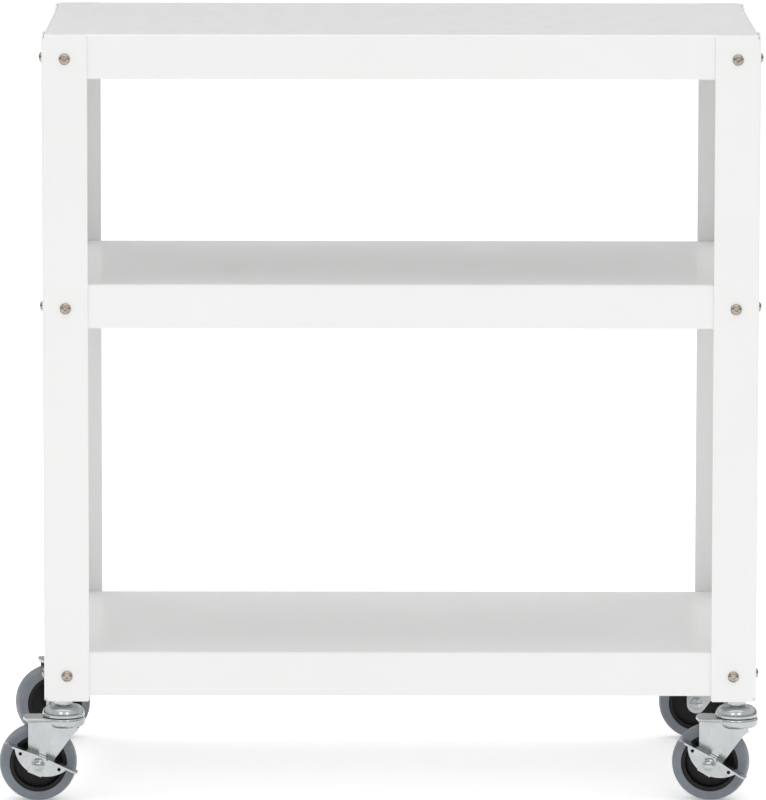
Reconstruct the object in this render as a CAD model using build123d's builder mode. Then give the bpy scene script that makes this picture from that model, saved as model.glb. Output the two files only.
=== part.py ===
"""Rolling shelf cart: three pressed-steel shelves screwed into four angle posts, on four swivel casters.

Millimetres, +Z up.  The origin is on the floor, midway between the four posts.  +X is to the right along
the long side and the front is at -Y.  Each caster is drawn once, with its swivel axis on the Z axis and its
wheel trailing towards -X, and is then set under its post at the swivel angle that it rests at.
"""

import os
from math import asin, cos, degrees, isclose, radians, sin, tan

from build123d import *

os.makedirs("parts", exist_ok=True)

# ---- driving dimensions -------------------------------------------------------------------------------

# The cart, measured over the posts
CART_WIDTH = 600.0
CART_DEPTH = 322.0
CART_HEIGHT = 650.0
POST_FOOT = 86.5

# Corner posts: equal angle bent from sheet
POST_FLANGE = 38.0
POST_SHEET = 1.5
POST_BEND = 2.5
POST_EDGE_ROUND = 0.4
POST_FREE_CORNER = 1.8
POST_RELIEF_LENGTH = 6.0
POST_RELIEF_DEPTH = 3.2

# Shelves: flat sheet with its four skirts turned down
SHELF_TOPS = {"top": CART_HEIGHT, "middle": 440.5, "bottom": 128.5}
SHELF_SHEET = 1.2
SHELF_SKIRT = 37.0
SHELF_BEND = 2.0
SHELF_CORNER = 3.0

# M5 button-head screws and weld nuts, one through each flange at each shelf
SCREW_INSET = 19.25
SCREW_DROP = 20.5
SCREW_RADIUS = 2.5
SCREW_LENGTH = 12.0
SCREW_HOLE = 2.75
SCREW_POINT = 0.6
HEAD_RADIUS = 4.75
HEAD_HEIGHT = 2.75
HEAD_TOP_RADIUS = 2.1
HEAD_CHEEK = (3.8, 1.73)
HEAD_RIM = 0.33
SOCKET_FLATS = 3.0
SOCKET_DEPTH = 1.6
WELD_NUT_FLATS = 8.0
WELD_NUT_HEIGHT = 4.0
WELD_NUT_CHAMFER = 0.4
THREAD_PLAY = 0.05

# Where the caster stem stands, measured in from both outer faces of the post
STEM_INSET = 15.6

# Plate welded across the foot of each post, and the nut that clamps the stem to it
PLATE_SIZE = 34.5
PLATE_THICKNESS = 3.0
PLATE_CHAMFER = 12.0
PLATE_HOLE = 4.3
STEM_NUT_FLATS = 13.0
STEM_NUT_HEIGHT = 6.5

# Wheel
WHEEL_RADIUS = 32.7
TREAD_WIDTH = 22.0
TREAD_CROWN = 1.4
TYRE_EDGE = 2.6
TYRE_BORE = 24.3
TYRE_TONGUE_RADIUS = 22.4
TYRE_TONGUE_WIDTH = 8.0
RIM_RADIUS = 20.6
RIM_WIDTH = 20.4
WEB_WIDTH = 5.0
HUB_RADIUS = 7.5
HUB_LENGTH = 24.9
CORE_EDGE = 0.6

# Fork: one pressing, a dished crown with two legs
TRAIL = 21.6
FORK_SHEET = 2.0
FORK_WIDTH = 29.5
FORK_BEND = 3.0
CROWN_TOP = 71.4
CROWN_RADIUS = 18.2
CROWN_TOP_ROUND = 2.2
CROWN_CURL = 4.5
CROWN_DEPTH = 8.6
CROWN_MOUTH = 12.7
CROWN_TAIL = 34.2
CROWN_TAIL_BOW = 3.8
LEG_END_RADIUS = 8.5
LEG_FRONT_ANGLE = 53.5
LEG_FLARE_START = 54.0
LEG_FLARE_END = 61.4
LEG_FRONT = 12.0
LEG_SHOULDER = 10.0
LEG_SHOULDER_HEIGHT = 64.5
KINGPIN_RADIUS = 4.0
KINGPIN_PLAY = 0.08

# Cap, stem and bearings
CAP_TOP = 81.2
CAP_RIM = 71.8
CAP_RADIUS = 17.8
CAP_FLAT_RADIUS = 10.5
CAP_SHOULDER = 73.2
CAP_SHEET = 2.2
CAP_EDGE_ROUND = 0.6
COLLAR_FLATS = 13.0
STEM_TIP = 98.5
RIVET_RADIUS = 5.2
RIVET_BOTTOM = 62.3
RIVET_CHAMFER = 0.9
STEM_POINT = 1.0
LOWER_RACE_RADIUS = 9.5
LOWER_RACE_BOTTOM = 64.2
LOWER_RACE_THICKNESS = 1.7
LOWER_RACE_ROUND = 0.5
UPPER_BALL = 5.5
UPPER_BALL_CIRCLE = 12.2
UPPER_BALL_COUNT = 12
LOWER_BALL = 3.2
LOWER_BALL_CIRCLE = 7.4
LOWER_BALL_COUNT = 12
BALL_PLAY = 0.12

# Axle: M6 bolt and nut, and the sleeve that the wheel turns on
AXLE_RADIUS = 3.0
AXLE_HOLE = 3.1
SLEEVE_RADIUS = 4.2
SLEEVE_PLAY = 0.08
AXLE_FLATS = 10.0
AXLE_HEAD = 3.0
AXLE_DOME = 2.4
AXLE_DOME_RADIUS = 4.7
AXLE_NUT = 5.0
AXLE_END = 1.2
AXLE_POINT = 0.6

# Brake lever of the front casters, rocking on the axle outside the leg
LEVER_SHEET = 1.5
LEVER_GAP = 0.25
LEVER_HALF_LENGTH = 32.5
LEVER_REACH = 15.5
LEVER_DROOP = 3.0
LEVER_PEDAL_HEIGHT = 9.6
LEVER_SPLIT = 3.3
LEVER_TIP_ROUND = 6.5
LEVER_SPLIT_ROUND = 2.0
LEVER_WEB_HALF = 25.0
LEVER_WEB_DEPTH = 9.0
LEVER_BRIDGE_HALF = 6.2
LEVER_BRIDGE_RISE = 1.4
LEVER_HOLE = 1.5
LEVER_HOLE_AT = (17.7, 2.7)
LEVER_PIVOT_HOLE = 3.08

# How each caster rests: swivel angle, and the lever's rocking angle where it has one
SWIVEL_REST = {"front_left": 3.0, "front_right": -8.0, "rear_left": 12.0, "rear_right": 0.0}
LEVER_REST = {"front_left": 23.0, "front_right": 30.0}

# ---- places worked out from them ----------------------------------------------------------------------

CORNER_SIGNS = {"front_left": (-1, -1), "front_right": (1, -1), "rear_right": (1, 1), "rear_left": (-1, 1)}
POST_TURNS = {"front_left": 0, "front_right": 90, "rear_right": 180, "rear_left": 270}
SHELF_LENGTH = CART_WIDTH - 2 * POST_SHEET
SHELF_WIDTH = CART_DEPTH - 2 * POST_SHEET
SKIRT_INSIDE = POST_SHEET + SHELF_SHEET
LEG_OUTSIDE = FORK_WIDTH / 2
LEG_INSIDE = LEG_OUTSIDE - FORK_SHEET
LEVER_BACK = LEG_OUTSIDE + LEVER_GAP
LEVER_FACE = LEVER_BACK + LEVER_BRIDGE_RISE + LEVER_SHEET
CUT = 80.0

post_places = {
    corner: Location((sx * CART_WIDTH / 2, sy * CART_DEPTH / 2, 0), (0, 0, POST_TURNS[corner]))
    for corner, (sx, sy) in CORNER_SIGNS.items()
}
caster_places = {
    corner: Location(
        (sx * (CART_WIDTH / 2 - STEM_INSET), sy * (CART_DEPTH / 2 - STEM_INSET), 0),
        (0, 0, SWIVEL_REST[corner]),
    )
    for corner, (sx, sy) in CORNER_SIGNS.items()
}


def screw_places(height):
    """The eight screws of one shelf: heads outwards on the front, rear and side flanges."""
    x_in = CART_WIDTH / 2 - SCREW_INSET
    y_in = CART_DEPTH / 2 - SCREW_INSET
    places = []
    for sx, sy in CORNER_SIGNS.values():
        front = Plane(origin=(sx * x_in, sy * CART_DEPTH / 2, height), x_dir=(1, 0, 0), z_dir=(0, sy, 0))
        side = Plane(origin=(sx * CART_WIDTH / 2, sy * y_in, height), x_dir=(0, 1, 0), z_dir=(sx, 0, 0))
        places += [front.location, side.location]
    return places


def write(source, name, *places):
    """Write one node: a finished piece, set down once at each of its places."""
    with BuildPart() as node:
        with Locations(*places) if places else Locations((0, 0, 0)):
            add(source.part)
    node.part.label = name
    export_step(node.part, f"parts/{name}.step")


# ---- corner post --------------------------------------------------------------------------------------


def bend_nick(face_plane, end_height, way):
    """The waste beside the bend at one end of a flange, where the blank is nicked before it is folded."""
    end = end_height + way
    floor = end_height - way * POST_RELIEF_DEPTH
    with BuildSketch(face_plane) as nick:
        with BuildLine():
            curve = EllipticalCenterArc(
                (POST_RELIEF_LENGTH, floor),
                POST_RELIEF_LENGTH - POST_BEND,
                POST_RELIEF_DEPTH,
                start_angle=90 if way > 0 else 180,
                arc_size=90,
            )
            low, high = curve.vertices().sort_by(Axis.X)
            Polyline((low.X, low.Y), (-1, floor), (-1, end), (high.X, end), (high.X, high.Y))
        make_face()
    return nick.sketch


def free_corner(face_plane, end_height, way):
    """The waste outside the rounded free corner at one end of a flange."""
    with BuildSketch(face_plane) as waste:
        with Locations((POST_FLANGE - POST_FREE_CORNER, end_height - way * POST_FREE_CORNER)):
            outwards = Align.MIN if way > 0 else Align.MAX
            Rectangle(2 * POST_FREE_CORNER, 2 * POST_FREE_CORNER, align=(Align.MIN, outwards))
            Circle(POST_FREE_CORNER, mode=Mode.SUBTRACT)
    return waste.sketch


def screw_holes(face_plane, positions):
    """Clearance holes for shelf screws."""
    with BuildSketch(face_plane) as holes:
        with Locations(*positions):
            Circle(SCREW_HOLE)
    return holes.sketch


with BuildPart() as post:
    with BuildSketch(Plane.XY.offset(POST_FOOT)) as angle:
        Rectangle(POST_FLANGE, POST_FLANGE, align=Align.MIN)
        with Locations((POST_SHEET, POST_SHEET)):
            Rectangle(POST_FLANGE, POST_FLANGE, align=Align.MIN, mode=Mode.SUBTRACT)
        free_ends = angle.vertices().group_by(SortBy.DISTANCE)[-2:]
        fillet([v for group in free_ends for v in group], POST_EDGE_ROUND)
        fillet(angle.vertices().sort_by_distance((POST_SHEET, POST_SHEET))[0], POST_BEND - POST_SHEET)
        fillet(angle.vertices().sort_by_distance((0, 0))[0], POST_BEND)
    extrude(amount=CART_HEIGHT - POST_FOOT)
    screw_heights = [top - SCREW_DROP for top in SHELF_TOPS.values()]
    for face_plane, inwards in ((Plane.XZ, -1), (Plane.YZ, 1)):
        for end_height, way in ((CART_HEIGHT, 1), (POST_FOOT, -1)):
            extrude(bend_nick(face_plane, end_height, way), amount=inwards * POST_BEND, mode=Mode.SUBTRACT)
            extrude(free_corner(face_plane, end_height, way), amount=inwards * POST_BEND, mode=Mode.SUBTRACT)
        holes = screw_holes(face_plane, [(SCREW_INSET, z) for z in screw_heights])
        extrude(holes, amount=inwards * 2 * POST_SHEET, mode=Mode.SUBTRACT)

for corner, place in post_places.items():
    write(post, f"post_{corner}", place)

# ---- shelves ------------------------------------------------------------------------------------------

for shelf_name, shelf_top in SHELF_TOPS.items():
    with BuildPart() as shelf:
        with BuildSketch(Plane.XY.offset(shelf_top - SHELF_SKIRT)):
            RectangleRounded(SHELF_LENGTH, SHELF_WIDTH, SHELF_CORNER)
        extrude(amount=SHELF_SKIRT)
        fillet(shelf.faces().sort_by(Axis.Z)[-1].edges(), SHELF_BEND)
        offset(amount=-SHELF_SHEET, openings=shelf.faces().sort_by(Axis.Z)[0])
        for face_plane, span in ((Plane.XZ, CART_WIDTH), (Plane.YZ, CART_DEPTH)):
            across = span / 2 - SCREW_INSET
            holes = screw_holes(face_plane, [(s * across, shelf_top - SCREW_DROP) for s in (-1, 1)])
            extrude(holes, amount=CART_WIDTH, both=True, mode=Mode.SUBTRACT)
    write(shelf, f"shelf_{shelf_name}")

# ---- screws and weld nuts -----------------------------------------------------------------------------


def hex_bar(base, flats, height, bore=0.0):
    """A hexagon standing on a plane, its corners turned off at both ends, with a hole if it is a nut."""
    corner = flats / 2 / cos(radians(30))
    bevel = (corner - flats / 2) * tan(radians(30))
    with BuildPart(mode=Mode.PRIVATE) as bar:
        with BuildSketch(Plane.XY):
            RegularPolygon(flats / 2, 6, major_radius=False)
        extrude(amount=height)
        with BuildSketch(Plane.XZ):
            with BuildLine():
                Polyline(
                    (0, 0),
                    (flats / 2, 0),
                    (corner, bevel),
                    (corner, height - bevel),
                    (flats / 2, height),
                    (0, height),
                    close=True,
                )
            make_face()
        revolve(axis=Axis.Z, mode=Mode.INTERSECT)
        if bore:
            with BuildSketch(Plane.XY):
                Circle(bore)
            extrude(amount=height, mode=Mode.SUBTRACT)
    return bar.part.moved(base.location)


with BuildPart() as screw:
    with BuildSketch(Plane.XZ):
        with BuildLine():
            crown = ThreePointArc(
                (HEAD_TOP_RADIUS, HEAD_HEIGHT),
                HEAD_CHEEK,
                (HEAD_RADIUS, HEAD_RIM),
            )
            Polyline(
                crown @ 1,
                (HEAD_RADIUS, 0),
                (SCREW_RADIUS, 0),
                (SCREW_RADIUS, -SCREW_LENGTH + SCREW_POINT),
                (SCREW_RADIUS - SCREW_POINT, -SCREW_LENGTH),
                (0, -SCREW_LENGTH),
                (0, HEAD_HEIGHT),
                crown @ 0,
            )
        make_face()
    revolve(axis=Axis.Z)
    with BuildSketch(Plane.XY.offset(HEAD_HEIGHT)):
        RegularPolygon(SOCKET_FLATS / 2, 6, major_radius=False)
    extrude(amount=-SOCKET_DEPTH, mode=Mode.SUBTRACT)

with BuildPart() as weld_nut:
    with BuildSketch(Plane.XY.offset(-SKIRT_INSIDE)):
        RegularPolygon(WELD_NUT_FLATS / 2, 6, major_radius=False)
        Circle(SCREW_RADIUS + THREAD_PLAY, mode=Mode.SUBTRACT)
    extrude(amount=-WELD_NUT_HEIGHT)
    chamfer(weld_nut.edges().filter_by(GeomType.CIRCLE), WELD_NUT_CHAMFER)

for shelf_name, shelf_top in SHELF_TOPS.items():
    places = screw_places(shelf_top - SCREW_DROP)
    write(screw, f"screws_{shelf_name}", *places)
    write(weld_nut, f"weld_nuts_{shelf_name}", *places)

# ---- caster plates and stem nuts ----------------------------------------------------------------------

with BuildPart() as caster_plate:
    with BuildSketch(Plane.XY.offset(POST_FOOT)) as plate_outline:
        with Locations((POST_SHEET, POST_SHEET)):
            Rectangle(PLATE_SIZE, PLATE_SIZE, align=Align.MIN)
        chamfer(plate_outline.vertices().sort_by_distance((0, 0))[-1], PLATE_CHAMFER)
        chamfer(plate_outline.vertices().sort_by_distance((0, 0))[0], POST_BEND)
        with Locations((STEM_INSET, STEM_INSET)):
            Circle(PLATE_HOLE, mode=Mode.SUBTRACT)
    extrude(amount=PLATE_THICKNESS)

with BuildPart() as stem_nut:
    add(
        hex_bar(
            Plane.XY.offset(POST_FOOT + PLATE_THICKNESS),
            STEM_NUT_FLATS,
            STEM_NUT_HEIGHT,
            KINGPIN_RADIUS + THREAD_PLAY,
        )
    )

for corner, place in post_places.items():
    write(caster_plate, f"caster_plate_{corner}", place)
write(stem_nut, "stem_nuts", *caster_places.values())

# ---- stem, cap and lower race: these stay still under the post ----------------------------------------

with BuildPart() as stem:
    with BuildSketch(Plane.XZ):
        with BuildLine():
            Polyline(
                (0, RIVET_BOTTOM),
                (RIVET_RADIUS - RIVET_CHAMFER, RIVET_BOTTOM),
                (RIVET_RADIUS, RIVET_BOTTOM + RIVET_CHAMFER),
                (RIVET_RADIUS, LOWER_RACE_BOTTOM),
                (KINGPIN_RADIUS, LOWER_RACE_BOTTOM),
                (KINGPIN_RADIUS, STEM_TIP - STEM_POINT),
                (KINGPIN_RADIUS - STEM_POINT, STEM_TIP),
                (0, STEM_TIP),
                close=True,
            )
        make_face()
    revolve(axis=Axis.Z)
    add(hex_bar(Plane.XY.offset(CAP_TOP), COLLAR_FLATS, POST_FOOT - CAP_TOP))

with BuildPart() as cap:
    with BuildSketch(Plane.XZ):
        with BuildLine():
            shoulder = EllipticalCenterArc(
                (CAP_FLAT_RADIUS, CAP_SHOULDER),
                CAP_RADIUS - CAP_FLAT_RADIUS,
                CAP_TOP - CAP_SHOULDER,
                start_angle=0,
                arc_size=90,
            )
            ceiling = EllipticalCenterArc(
                (CAP_FLAT_RADIUS, CAP_SHOULDER),
                CAP_RADIUS - CAP_FLAT_RADIUS - CAP_SHEET,
                CAP_TOP - CAP_SHOULDER - CAP_SHEET,
                start_angle=0,
                arc_size=90,
            )
            Polyline(shoulder @ 1, (KINGPIN_RADIUS + THREAD_PLAY, CAP_TOP))
            Line((KINGPIN_RADIUS + THREAD_PLAY, CAP_TOP), (KINGPIN_RADIUS + THREAD_PLAY, CAP_TOP - CAP_SHEET))
            Line((KINGPIN_RADIUS + THREAD_PLAY, CAP_TOP - CAP_SHEET), ceiling @ 1)
            Polyline(ceiling @ 0, (CAP_RADIUS - CAP_SHEET, CAP_RIM), (CAP_RADIUS, CAP_RIM), shoulder @ 0)
        make_face()
    revolve(axis=Axis.Z)
    cap_rims = cap.edges().filter_by(GeomType.CIRCLE).group_by(Axis.Z)[0]
    fillet(cap_rims.sort_by(SortBy.LENGTH)[-1], CAP_EDGE_ROUND)

with BuildPart() as lower_race:
    with BuildSketch(Plane.XY.offset(LOWER_RACE_BOTTOM)):
        Circle(LOWER_RACE_RADIUS)
        Circle(KINGPIN_RADIUS + THREAD_PLAY, mode=Mode.SUBTRACT)
    extrude(amount=LOWER_RACE_THICKNESS)
    fillet(lower_race.edges().filter_by(GeomType.CIRCLE).sort_by(SortBy.LENGTH)[-2:], LOWER_RACE_ROUND)

# ---- fork ---------------------------------------------------------------------------------------------

with BuildPart() as channel:
    with BuildSketch(Plane.YZ.offset(-CROWN_TAIL)) as section:
        with Locations((0, CROWN_TOP)):
            Rectangle(FORK_WIDTH, CROWN_TOP, align=(Align.CENTER, Align.MAX))
        fillet(section.vertices().group_by(Axis.Y)[-1], FORK_BEND)
        with Locations((0, CROWN_TOP - FORK_SHEET)):
            Rectangle(2 * LEG_INSIDE, CROWN_TOP, align=(Align.CENTER, Align.MAX), mode=Mode.SUBTRACT)
        fillet(section.vertices().group_by(Axis.Y)[-2], FORK_BEND - FORK_SHEET)
    extrude(amount=CROWN_TAIL + LEG_FRONT)
    with BuildSketch(Plane.XZ):
        with BuildLine():
            lean = radians(LEG_FRONT_ANGLE)
            back_x = -TRAIL - LEG_END_RADIUS
            end_round = CenterArc(
                (-TRAIL, WHEEL_RADIUS), LEG_END_RADIUS, start_angle=180, arc_size=90 + LEG_FRONT_ANGLE
            )
            toe = end_round @ 1
            shin = Line(toe, (toe.X + (LEG_FLARE_START - toe.Y) / tan(lean), LEG_FLARE_START))
            flare = TangentArc(shin @ 1, (LEG_FRONT, LEG_FLARE_END), tangent=shin % 1)
            Polyline(
                flare @ 1,
                (LEG_SHOULDER, LEG_SHOULDER_HEIGHT),
                (LEG_SHOULDER, CROWN_TOP),
                (-CROWN_TAIL, CROWN_TOP),
                (-CROWN_TAIL, CROWN_TOP - FORK_BEND),
                (back_x, CROWN_TOP - FORK_BEND),
                end_round @ 0,
            )
        make_face()
    extrude(amount=CUT, both=True, mode=Mode.INTERSECT)
    with BuildSketch(Plane.XY):
        with BuildLine():
            tail = ThreePointArc(
                (-CROWN_TAIL + CROWN_TAIL_BOW, LEG_OUTSIDE),
                (-CROWN_TAIL, 0),
                (-CROWN_TAIL + CROWN_TAIL_BOW, -LEG_OUTSIDE),
            )
            Polyline(tail @ 1, (LEG_FRONT, -LEG_OUTSIDE), (LEG_FRONT, LEG_OUTSIDE), tail @ 0)
        make_face()
    extrude(amount=CUT, mode=Mode.INTERSECT)

with BuildPart() as fork:
    add(channel.part)
    with BuildSketch(Plane.XZ):
        with BuildLine():
            bowl_floor = CROWN_TOP - CROWN_DEPTH
            curl = CenterArc((CROWN_RADIUS - CROWN_CURL, bowl_floor + CROWN_CURL), CROWN_CURL, -90, 90)
            brim = CenterArc(
                (CROWN_RADIUS - CROWN_TOP_ROUND, CROWN_TOP - CROWN_TOP_ROUND), CROWN_TOP_ROUND, 0, 90
            )
            Line(curl @ 1, brim @ 0)
            Polyline(brim @ 1, (0, CROWN_TOP), (0, bowl_floor), curl @ 0)
        make_face()
    revolve(axis=Axis.Z)
    with BuildSketch(Plane.XZ):
        with BuildLine():
            hollow = CenterArc(
                (CROWN_RADIUS - CROWN_CURL, bowl_floor + CROWN_CURL), CROWN_CURL - FORK_SHEET, -90, 90
            )
            Polyline(
                hollow @ 1,
                (CROWN_RADIUS - FORK_SHEET, CROWN_TOP - FORK_SHEET),
                (0, CROWN_TOP - FORK_SHEET),
                (0, bowl_floor - 1),
                (CROWN_MOUTH, bowl_floor - 1),
                (CROWN_MOUTH, bowl_floor + FORK_SHEET),
                hollow @ 0,
            )
        make_face()
    revolve(axis=Axis.Z, mode=Mode.SUBTRACT)
    with BuildSketch(Plane.XY.offset(CROWN_TOP - FORK_SHEET)):
        with Locations((-KINGPIN_RADIUS, 0)):
            Rectangle(CUT, 2 * LEG_INSIDE, align=(Align.MAX, Align.CENTER))
    extrude(amount=-CUT, mode=Mode.SUBTRACT)
    with BuildSketch(Plane.XY.offset(CROWN_TOP)):
        Circle(KINGPIN_RADIUS + KINGPIN_PLAY)
    extrude(amount=-2 * FORK_SHEET, mode=Mode.SUBTRACT)
    with BuildSketch(Plane.XZ):
        with Locations((-TRAIL, WHEEL_RADIUS)):
            Circle(AXLE_HOLE)
    extrude(amount=CUT, both=True, mode=Mode.SUBTRACT)

# ---- bearing balls ------------------------------------------------------------------------------------

with BuildPart() as balls:
    with Locations(Plane.XY.offset(CROWN_TOP + UPPER_BALL / 2 + BALL_PLAY)):
        with PolarLocations(UPPER_BALL_CIRCLE, UPPER_BALL_COUNT):
            Sphere(UPPER_BALL / 2)
    with Locations(Plane.XY.offset(CROWN_TOP - FORK_SHEET - LOWER_BALL / 2 - BALL_PLAY)):
        with PolarLocations(LOWER_BALL_CIRCLE, LOWER_BALL_COUNT):
            Sphere(LOWER_BALL / 2)

# ---- wheel --------------------------------------------------------------------------------------------

AXLE_PLANE = Plane(origin=(-TRAIL, 0, WHEEL_RADIUS), x_dir=(1, 0, 0), z_dir=(0, 0, 1))
AXLE_LINE = Axis((-TRAIL, 0, WHEEL_RADIUS), (0, 1, 0))

with BuildPart() as tyre:
    with BuildSketch(AXLE_PLANE) as tyre_section:
        with BuildLine():
            shoulder_radius = WHEEL_RADIUS - TREAD_CROWN
            tread = ThreePointArc(
                (shoulder_radius, -TREAD_WIDTH / 2),
                (WHEEL_RADIUS, 0),
                (shoulder_radius, TREAD_WIDTH / 2),
            )
            Polyline(
                tread @ 1,
                (TYRE_BORE, TREAD_WIDTH / 2),
                (TYRE_BORE, TYRE_TONGUE_WIDTH / 2),
                (TYRE_TONGUE_RADIUS, TYRE_TONGUE_WIDTH / 2),
                (TYRE_TONGUE_RADIUS, -TYRE_TONGUE_WIDTH / 2),
                (TYRE_BORE, -TYRE_TONGUE_WIDTH / 2),
                (TYRE_BORE, -TREAD_WIDTH / 2),
                tread @ 0,
            )
        make_face()
        fillet(tyre_section.vertices().group_by(Axis.X)[-1], TYRE_EDGE)
    revolve(axis=AXLE_LINE)

with BuildPart() as wheel_core:
    with BuildSketch(AXLE_PLANE) as core_section:
        Rectangle(TYRE_BORE, WEB_WIDTH, align=(Align.MIN, Align.CENTER))
        Rectangle(HUB_RADIUS, HUB_LENGTH, align=(Align.MIN, Align.CENTER))
        with Locations((TYRE_BORE, 0)):
            Rectangle(TYRE_BORE - RIM_RADIUS, RIM_WIDTH, align=(Align.MAX, Align.CENTER))
            Rectangle(
                TYRE_BORE - TYRE_TONGUE_RADIUS,
                TYRE_TONGUE_WIDTH,
                align=(Align.MAX, Align.CENTER),
                mode=Mode.SUBTRACT,
            )
        bore = SLEEVE_RADIUS + SLEEVE_PLAY
        Rectangle(bore, HUB_LENGTH, align=(Align.MIN, Align.CENTER), mode=Mode.SUBTRACT)
        rim_and_hub = core_section.vertices().filter_by(
            lambda corner: isclose(corner.X, RIM_RADIUS) or isclose(corner.X, HUB_RADIUS)
        )
        fillet(rim_and_hub, CORE_EDGE)
    revolve(axis=AXLE_LINE)

# ---- axle ---------------------------------------------------------------------------------------------


def axle_face(distance):
    """A plane square to the axle, facing the front, at a distance in front of the wheel's middle."""
    return Plane(origin=(-TRAIL, -distance, WHEEL_RADIUS), x_dir=(1, 0, 0), z_dir=(0, -1, 0))


with BuildPart() as axle_sleeve:
    with BuildSketch(axle_face(-LEG_INSIDE)):
        Circle(SLEEVE_RADIUS)
        Circle(AXLE_RADIUS + THREAD_PLAY, mode=Mode.SUBTRACT)
    extrude(amount=2 * LEG_INSIDE)


def make_axle_bolt(head_seat):
    """Hex bolt with a domed head in front at head_seat; it ends just outside the nut behind the wheel."""
    with BuildPart() as bolt:
        add(hex_bar(axle_face(head_seat), AXLE_FLATS, AXLE_HEAD))
        with BuildSketch(Plane((-TRAIL, -head_seat - AXLE_HEAD, WHEEL_RADIUS), x_dir=(1, 0, 0), z_dir=(0, 0, 1))):
            with BuildLine():
                ball_radius = (AXLE_DOME_RADIUS**2 + AXLE_DOME**2) / (2 * AXLE_DOME)
                reach = degrees(asin(AXLE_DOME_RADIUS / ball_radius))
                crown = CenterArc((0, ball_radius - AXLE_DOME), ball_radius, -90, reach)
                Polyline(crown @ 1, (0, 0), crown @ 0)
            make_face()
        revolve(axis=AXLE_LINE)
        with BuildSketch(axle_face(head_seat)):
            Circle(AXLE_RADIUS)
        extrude(amount=-(head_seat + LEG_OUTSIDE + AXLE_NUT + AXLE_END))
        chamfer(bolt.faces().sort_by(Axis.Y)[-1].edges(), AXLE_POINT)
    return bolt


with BuildPart() as axle_nut:
    add(hex_bar(axle_face(-LEG_OUTSIDE - AXLE_NUT), AXLE_FLATS, AXLE_NUT, AXLE_RADIUS + THREAD_PLAY))


# ---- brake lever --------------------------------------------------------------------------------------


def make_brake_lever(rest_angle):
    """Bent sheet: a web on the outside of the leg, bridged over the nut seat, and two pedal wings."""
    tilt = radians(rest_angle)
    droop = tan(radians(LEVER_DROOP))
    web_plane = Plane(
        origin=(-TRAIL, -LEVER_BACK, WHEEL_RADIUS),
        x_dir=(cos(tilt), 0, -sin(tilt)),
        z_dir=(0, -1, 0),
    )
    web_top = LEVER_PEDAL_HEIGHT - LEVER_SHEET / 2
    web_end = web_top - LEVER_WEB_HALF * droop
    tip_height = LEVER_PEDAL_HEIGHT - LEVER_HALF_LENGTH * droop
    with BuildPart() as lever:
        with BuildSketch(web_plane):
            with BuildLine():
                belly = ThreePointArc(
                    (-LEVER_WEB_HALF, web_end), (0, -LEVER_WEB_DEPTH), (LEVER_WEB_HALF, web_end)
                )
                Polyline(belly @ 1, (0, web_top), belly @ 0)
            make_face()
            with Locations((LEVER_HOLE_AT[0], LEVER_HOLE_AT[1]), (-LEVER_HOLE_AT[0], LEVER_HOLE_AT[1])):
                Circle(LEVER_HOLE, mode=Mode.SUBTRACT)
        extrude(amount=LEVER_SHEET)
        for side in (-1, 1):
            with BuildSketch(web_plane):
                with BuildLine():
                    Polyline(
                        (side * LEVER_SPLIT, LEVER_PEDAL_HEIGHT - LEVER_SPLIT * droop),
                        (side * LEVER_HALF_LENGTH, tip_height),
                        (side * LEVER_HALF_LENGTH, tip_height - LEVER_SHEET),
                        (side * LEVER_SPLIT, LEVER_PEDAL_HEIGHT - LEVER_SPLIT * droop - LEVER_SHEET),
                        close=True,
                    )
                make_face()
            extrude(amount=LEVER_REACH)
        outer_edges = lever.edges().filter_by(lambda edge: edge.length < 2 * LEVER_SHEET).group_by(Axis.Y)[0]
        tips = outer_edges.sort_by(Axis.X)
        fillet([tips[0], tips[-1]], LEVER_TIP_ROUND)
        fillet(tips[1:-1], LEVER_SPLIT_ROUND)
        with BuildSketch(web_plane):
            with Locations((0, -LEVER_WEB_DEPTH)):
                Rectangle(
                    2 * LEVER_BRIDGE_HALF,
                    LEVER_WEB_DEPTH + web_top - LEVER_SHEET,
                    align=(Align.CENTER, Align.MIN),
                )
        extrude(amount=LEVER_BRIDGE_RISE + LEVER_SHEET)
        with BuildSketch(web_plane):
            Rectangle(2 * (LEVER_BRIDGE_HALF - LEVER_SHEET), CUT)
        extrude(amount=LEVER_BRIDGE_RISE, mode=Mode.SUBTRACT)
        with BuildSketch(web_plane):
            Circle(LEVER_PIVOT_HOLE)
        extrude(amount=CUT, mode=Mode.SUBTRACT)
    return lever


# ---- set the four casters down ------------------------------------------------------------------------

for corner, place in caster_places.items():
    braked = corner in LEVER_REST
    head_seat = LEVER_FACE + LEVER_GAP if braked else LEG_OUTSIDE
    write(stem, f"stem_{corner}", place)
    write(cap, f"cap_{corner}", place)
    write(lower_race, f"lower_race_{corner}", place)
    write(fork, f"fork_{corner}", place)
    write(balls, f"balls_{corner}", place)
    write(tyre, f"tyre_{corner}", place)
    write(wheel_core, f"wheel_core_{corner}", place)
    write(axle_sleeve, f"axle_sleeve_{corner}", place)
    write(make_axle_bolt(head_seat), f"axle_bolt_{corner}", place)
    write(axle_nut, f"axle_nut_{corner}", place)
    if braked:
        write(make_brake_lever(LEVER_REST[corner]), f"brake_lever_{corner}", place)
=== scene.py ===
import math

import bpy
from mathutils import Matrix, Vector


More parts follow.
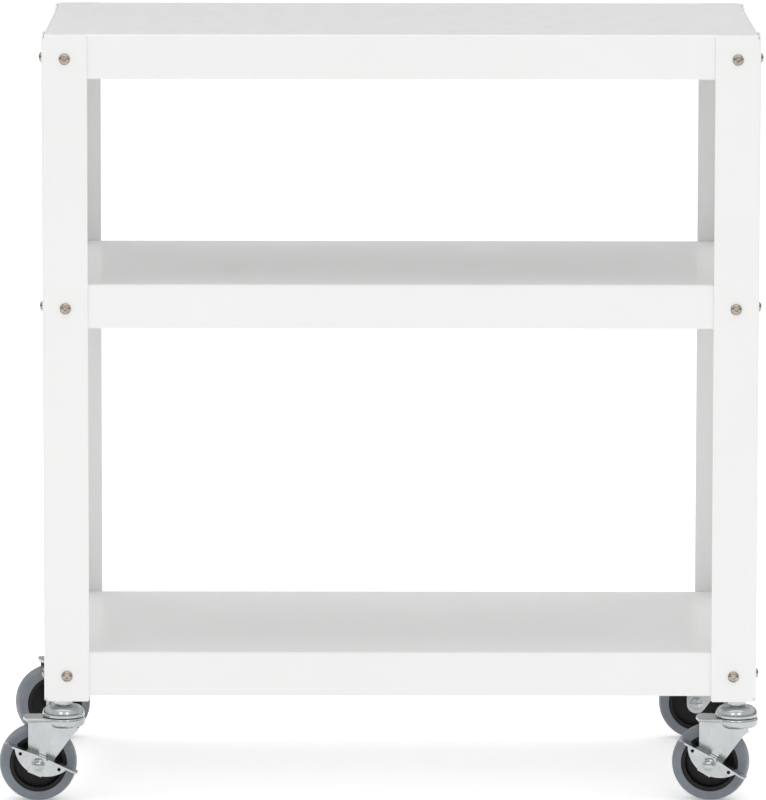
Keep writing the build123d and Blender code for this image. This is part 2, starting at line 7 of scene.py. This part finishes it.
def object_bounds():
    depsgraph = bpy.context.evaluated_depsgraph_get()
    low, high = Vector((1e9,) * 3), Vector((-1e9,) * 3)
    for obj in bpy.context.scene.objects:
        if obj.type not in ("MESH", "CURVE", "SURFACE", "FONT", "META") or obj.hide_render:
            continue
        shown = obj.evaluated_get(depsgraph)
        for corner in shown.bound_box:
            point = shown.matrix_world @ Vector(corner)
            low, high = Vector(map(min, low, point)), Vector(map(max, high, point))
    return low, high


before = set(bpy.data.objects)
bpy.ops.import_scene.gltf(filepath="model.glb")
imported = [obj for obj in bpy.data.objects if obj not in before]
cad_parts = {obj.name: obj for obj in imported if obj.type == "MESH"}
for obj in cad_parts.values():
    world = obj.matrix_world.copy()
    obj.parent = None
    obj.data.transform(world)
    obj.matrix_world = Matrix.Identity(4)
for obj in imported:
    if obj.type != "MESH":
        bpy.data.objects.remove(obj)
cad_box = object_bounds()

# ---- the studio ---------------------------------------------------------------------------------------
# A white paper sweep on the floor, two tall soft boxes in front of the cart, one to each side, and a wide
# overhead sheet.  The camera stands well back with a long lens, a little above the top shelf.

camera_place = Vector((-0.0280, -6.3952, 1.2027))
camera_yaw = math.radians(-0.121)
camera_dip = math.radians(7.849)
camera_roll = math.radians(-0.08)

ahead_flat = Vector((-math.sin(camera_yaw), math.cos(camera_yaw), 0))
level_right = Vector((math.cos(camera_yaw), math.sin(camera_yaw), 0))
ahead = ahead_flat * math.cos(camera_dip) - Vector((0, 0, math.sin(camera_dip)))
level_up = ahead_flat * math.sin(camera_dip) + Vector((0, 0, math.cos(camera_dip)))
right = level_right * math.cos(camera_roll) - level_up * math.sin(camera_roll)
up = level_right * math.sin(camera_roll) + level_up * math.cos(camera_roll)

camera = bpy.data.objects.new("camera", bpy.data.cameras.new("camera"))
camera.data.lens = 337.8
camera.data.sensor_width = 36.0
camera.data.clip_end = 60.0
camera.matrix_world = Matrix.Translation(camera_place) @ Matrix((right, up, -ahead)).transposed().to_4x4()
bpy.context.scene.collection.objects.link(camera)
bpy.context.scene.camera = camera

bpy.context.scene.view_settings.view_transform = "Standard"

SWEEP_REACH = 14.0
paper = bpy.data.materials.new("sweep_paper")
paper.use_nodes = True
paper_shader = paper.node_tree.nodes["Principled BSDF"]
paper_shader.inputs["Base Color"].default_value = (0.93, 0.93, 0.93, 1)
paper_shader.inputs["Roughness"].default_value = 0.9
paper_shader.inputs["Emission Color"].default_value = (1, 1, 1, 1)
paper_shader.inputs["Emission Strength"].default_value = 0.3
sweep_mesh = bpy.data.meshes.new("paper_sweep")
sweep_mesh.from_pydata(
    [(sx * SWEEP_REACH, sy * SWEEP_REACH, 0) for sx, sy in ((-1, -1), (1, -1), (1, 1), (-1, 1))],
    [],
    [(0, 1, 2, 3)],
)
sweep_mesh.materials.append(paper)
sweep = bpy.data.objects.new("paper_sweep", sweep_mesh)
bpy.context.scene.collection.objects.link(sweep)


def soft_box(name, place, aim, size, watts):
    """A rectangular soft box, aimed at a point."""
    lamp = bpy.data.lights.new(name, "AREA")
    lamp.shape = "RECTANGLE"
    lamp.size, lamp.size_y = size
    lamp.energy = watts
    holder = bpy.data.objects.new(name, lamp)
    holder.matrix_world = Matrix.Translation(place) @ (aim - place).to_track_quat("-Z", "Y").to_matrix().to_4x4()
    bpy.context.scene.collection.objects.link(holder)


cart_middle = (cad_box[0] + cad_box[1]) / 2
soft_box("soft_box_left", Vector((-1.0, -2.9, 2.1)), cart_middle, (0.7, 1.1), 7.5)
soft_box("soft_box_right", Vector((1.0, -2.9, 2.1)), cart_middle, (0.7, 1.1), 7.5)
soft_box("overhead_sheet", Vector((0, 0.4, 3.2)), cart_middle, (4.0, 4.0), 36)

studio = bpy.data.worlds.new("studio")
studio.use_nodes = True
walls = studio.node_tree
direction = walls.nodes.new("ShaderNodeTexCoord")
height_of = walls.nodes.new("ShaderNodeSeparateXYZ")
wall_fade = walls.nodes.new("ShaderNodeMapRange")
wall_fade.interpolation_type = "SMOOTHSTEP"
wall_fade.inputs["From Min"].default_value = 0.04
wall_fade.inputs["From Max"].default_value = 0.34
wall_fade.inputs["To Min"].default_value = 0.12
wall_fade.inputs["To Max"].default_value = 1.0
walls.links.new(direction.outputs["Generated"], height_of.inputs["Vector"])
walls.links.new(height_of.outputs["Z"], wall_fade.inputs["Value"])
walls.links.new(wall_fade.outputs["Result"], walls.nodes["Background"].inputs["Color"])
walls.nodes["Background"].inputs["Strength"].default_value = 0.85
bpy.context.scene.world = studio

# ---- posts, shelves and caster plates: white powder coat ----------------------------------------------
# Pressed sheet steel, powder coated white after forming.  The baked powder leaves a satin skin with a fine
# orange peel, and it thins a little where it was drawn off the sheared and folded edges.


class Finish:
    """A surface finish, built up node by node on one main shader."""

    def __init__(self, name, **settings):
        self.material = bpy.data.materials.new(name)
        self.material.use_nodes = True
        self.tree = self.material.node_tree
        self.shader = self.tree.nodes["Principled BSDF"]
        self.place = self.add("ShaderNodeTexCoord").outputs["Object"]
        for socket, value in settings.items():
            self.shader.inputs[socket.replace("_", " ")].default_value = value

    def add(self, kind, inputs=None, **properties):
        """Add a node; each input is given a value, or the socket that feeds it."""
        node = self.tree.nodes.new(kind)
        for name, value in properties.items():
            setattr(node, name, value)
        for name, value in (inputs or {}).items():
            if isinstance(value, bpy.types.NodeSocket):
                self.tree.links.new(value, node.inputs[name])
            else:
                node.inputs[name].default_value = value
        return node

    def noise(self, scale, detail=2.0, roughness=0.5, place=None):
        """Cloudy noise in the piece's own metres: scale is features to the metre."""
        inputs = {"Vector": place or self.place, "Scale": scale, "Detail": detail, "Roughness": roughness}
        return self.add("ShaderNodeTexNoise", inputs).outputs["Fac"]

    def spread(self, source, low, high, start=0.3, end=0.7):
        """Stretch a 0 to 1 value to run from low to high."""
        inputs = {"Value": source, "From Min": start, "From Max": end, "To Min": low, "To Max": high}
        return self.add("ShaderNodeMapRange", inputs).outputs["Result"]

    def tint(self, source, dark, light):
        """A colour that runs from dark to light with a 0 to 1 value."""
        mix = self.add("ShaderNodeMix", data_type="RGBA")
        self.tree.links.new(source, mix.inputs["Factor"])
        mix.inputs[6].default_value = (*dark, 1)
        mix.inputs[7].default_value = (*light, 1)
        return mix.outputs[2]

    def relief(self, source, height, strength=1.0, under=None):
        """Bump that rises by height, in metres, laid over other bump."""
        inputs = {"Height": source, "Distance": height, "Strength": strength}
        if under:
            inputs["Normal"] = under
        return self.add("ShaderNodeBump", inputs).outputs["Normal"]

    def feed(self, socket, source):
        """Drive a socket of the main shader."""
        self.tree.links.new(source, self.shader.inputs[socket])


def coat(finish, *prefixes):
    """Give the finish to every CAD node whose name starts with one of these."""
    for name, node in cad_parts.items():
        if name.startswith(prefixes):
            for slot in node.material_slots:
                slot.material = finish.material


powder = Finish("white_powder_coat", IOR=1.5)
powder.shader.inputs["Coat Weight"].default_value = 0.25
powder.shader.inputs["Coat Roughness"].default_value = 0.12
cloud = powder.noise(4.0, detail=3.0)
powder.feed("Base Color", powder.tint(powder.spread(cloud, 0, 1), (0.812, 0.812, 0.807), (0.830, 0.830, 0.826)))
powder.feed("Roughness", powder.spread(powder.noise(60.0), 0.30, 0.38))
peel = powder.relief(powder.noise(520.0, detail=1.5), 0.00003, 0.5)
powder.feed("Normal", powder.relief(powder.noise(2600.0, detail=1.0), 0.000006, 0.4, under=peel))
coat(powder, "post_", "shelf_", "caster_plate_")

# ---- screws: nickel-plated button heads ---------------------------------------------------------------
# M5 button-head socket screws, nickel plated, slightly smoked by the plating bath in the socket and round
# the edge of the head.

nickel = Finish("smoked_nickel", Metallic=1.0)
smoke = nickel.spread(nickel.noise(700.0, detail=4.0), 0, 1)
nickel.feed("Base Color", nickel.tint(smoke, (0.30, 0.25, 0.205), (0.50, 0.44, 0.38)))
nickel.feed("Roughness", nickel.spread(nickel.noise(1800.0), 0.10, 0.22))
nickel.feed("Normal", nickel.relief(nickel.noise(5000.0), 0.000004, 0.3))
coat(nickel, "screws_")

# ---- weld nuts, stems, caps, forks, levers and axle hardware: zinc plate ------------------------------
# Steel pressings and turned parts, barrel plated with bright zinc and passivated to a faint blue.  Tumbling
# in the barrel leaves fine scratches and a cloudy, slightly uneven brightness.

zinc = Finish("blue_white_zinc", Metallic=1.0)
cloud = zinc.noise(90.0, detail=5.0, roughness=0.6)
zinc.feed("Base Color", zinc.tint(zinc.spread(cloud, 0, 1), (0.44, 0.465, 0.47), (0.52, 0.54, 0.545)))
streak_place = zinc.add("ShaderNodeMapping", {"Vector": zinc.place, "Scale": (1.0, 1.0, 0.12)}).outputs["Vector"]
streaks = zinc.noise(1500.0, detail=3.0, place=streak_place)
zinc.feed("Roughness", zinc.spread(streaks, 0.16, 0.28))
grain = zinc.relief(streaks, 0.000008, 0.35)
zinc.feed("Normal", zinc.relief(zinc.noise(300.0), 0.00003, 0.35, under=grain))
coat(zinc, "weld_nuts_", "stem_", "cap_", "lower_race_", "fork_", "axle_", "brake_lever_")

# ---- bearing balls: hardened steel --------------------------------------------------------------------
# Ground and lapped chrome steel balls with a film of grease on them.

steel = Finish("greased_ball_steel", Metallic=1.0)
film = steel.spread(steel.noise(400.0, detail=3.0), 0, 1)
steel.feed("Base Color", steel.tint(film, (0.42, 0.41, 0.38), (0.60, 0.60, 0.59)))
steel.feed("Roughness", steel.spread(steel.noise(900.0), 0.08, 0.25))
coat(steel, "balls_")

# ---- wheel cores: moulded black plastic ---------------------------------------------------------------
# Injection-moulded black polypropylene with a fine spark-eroded texture from the mould.

plastic = Finish("black_polypropylene", **{"IOR": 1.49, "Specular IOR Level": 0.3})
plastic.feed("Base Color", plastic.tint(plastic.noise(150.0, detail=3.0), (0.003, 0.003, 0.0032), (0.006, 0.006, 0.0063)))
plastic.feed("Roughness", plastic.spread(plastic.noise(600.0), 0.36, 0.48))
plastic.feed("Normal", plastic.relief(plastic.noise(3200.0, detail=1.0), 0.00002, 0.35))
coat(plastic, "wheel_core_")

# ---- tyres: grey rubber -------------------------------------------------------------------------------
# Soft non-marking grey rubber, moulded on to the core, with a matt bloom on its surface.

rubber = Finish("grey_rubber", IOR=1.5)
bloom = rubber.noise(110.0, detail=5.0, roughness=0.6)
rubber.feed("Base Color", rubber.tint(rubber.spread(bloom, 0, 1), (0.165, 0.185, 0.210), (0.195, 0.215, 0.242)))
rubber.feed("Roughness", rubber.spread(rubber.noise(260.0), 0.42, 0.55))
rubber.feed("Normal", rubber.relief(rubber.noise(1900.0, detail=2.0), 0.00002, 0.4))
coat(rubber, "tyre_")

# ---- smooth shading over the fine facets of the curved pieces -----------------------------------------

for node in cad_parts.values():
    for polygon in node.data.polygons:
        polygon.use_smooth = True
